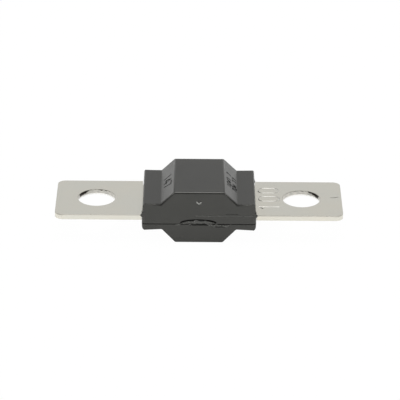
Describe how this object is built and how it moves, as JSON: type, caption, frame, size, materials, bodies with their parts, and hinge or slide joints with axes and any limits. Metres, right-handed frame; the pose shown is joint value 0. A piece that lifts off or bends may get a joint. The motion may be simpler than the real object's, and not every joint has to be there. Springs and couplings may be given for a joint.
{
  "type": "bolt down strip fuse",
  "caption": "Flat metal strip with a round stud hole near each end, clamped in a plastic housing whose raised middle covers the fusible link.",
  "frame": {"origin": "midway between the two stud holes, on the middle plane of the strip", "axes": "+X along the strip, through both stud holes; +Y across the strip; +Z out of the side with the taller moulding"},
  "size_m": [0.0418, 0.0116, 0.008],
  "materials": {
    "housing_plastic": "fine satin grain",
    "plated_strip": "satin tin plating over a copper alloy",
    "tin": "dull tin"
  },
  "bodies": {
    "root": {"upper_shell": "housing_plastic", "lower_shell": "housing_plastic", "fuse_strip": "plated_strip", "tin_rivet": "tin"}
  },
  "joints": []
}
